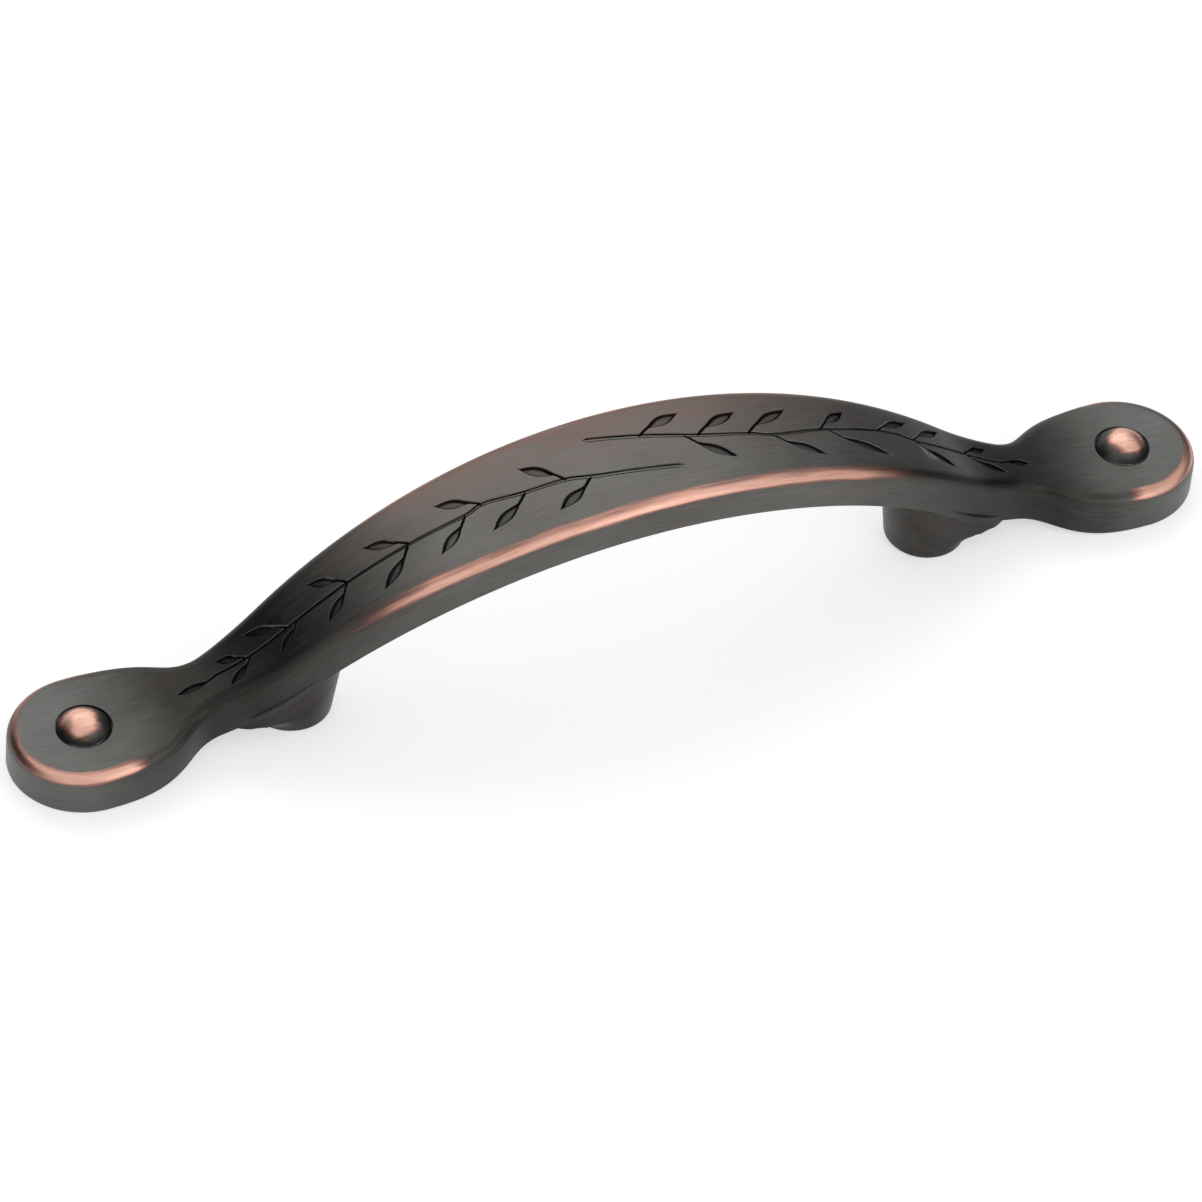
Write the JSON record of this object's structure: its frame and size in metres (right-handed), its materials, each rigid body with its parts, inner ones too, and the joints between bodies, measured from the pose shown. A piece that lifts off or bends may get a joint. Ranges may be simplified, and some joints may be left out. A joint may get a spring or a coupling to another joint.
{
  "type": "drawer pull",
  "caption": "Arched drawer pull with round ends, domed beads and engraved leaf sprigs, held by screws from inside the drawer.",
  "frame": {"origin": "centre of the mounting plane, midway between the two screw posts", "axes": "+X along the pull, +Y across the grip, +Z away from the drawer front towards the hand"},
  "size_m": [0.141, 0.016, 0.0245],
  "materials": {
    "dark_bronze": "brushed dark bronze plating with copper relieved on the edges and beads"
  },
  "bodies": {
    "root": {"drawer_pull": "dark_bronze"}
  },
  "joints": []
}
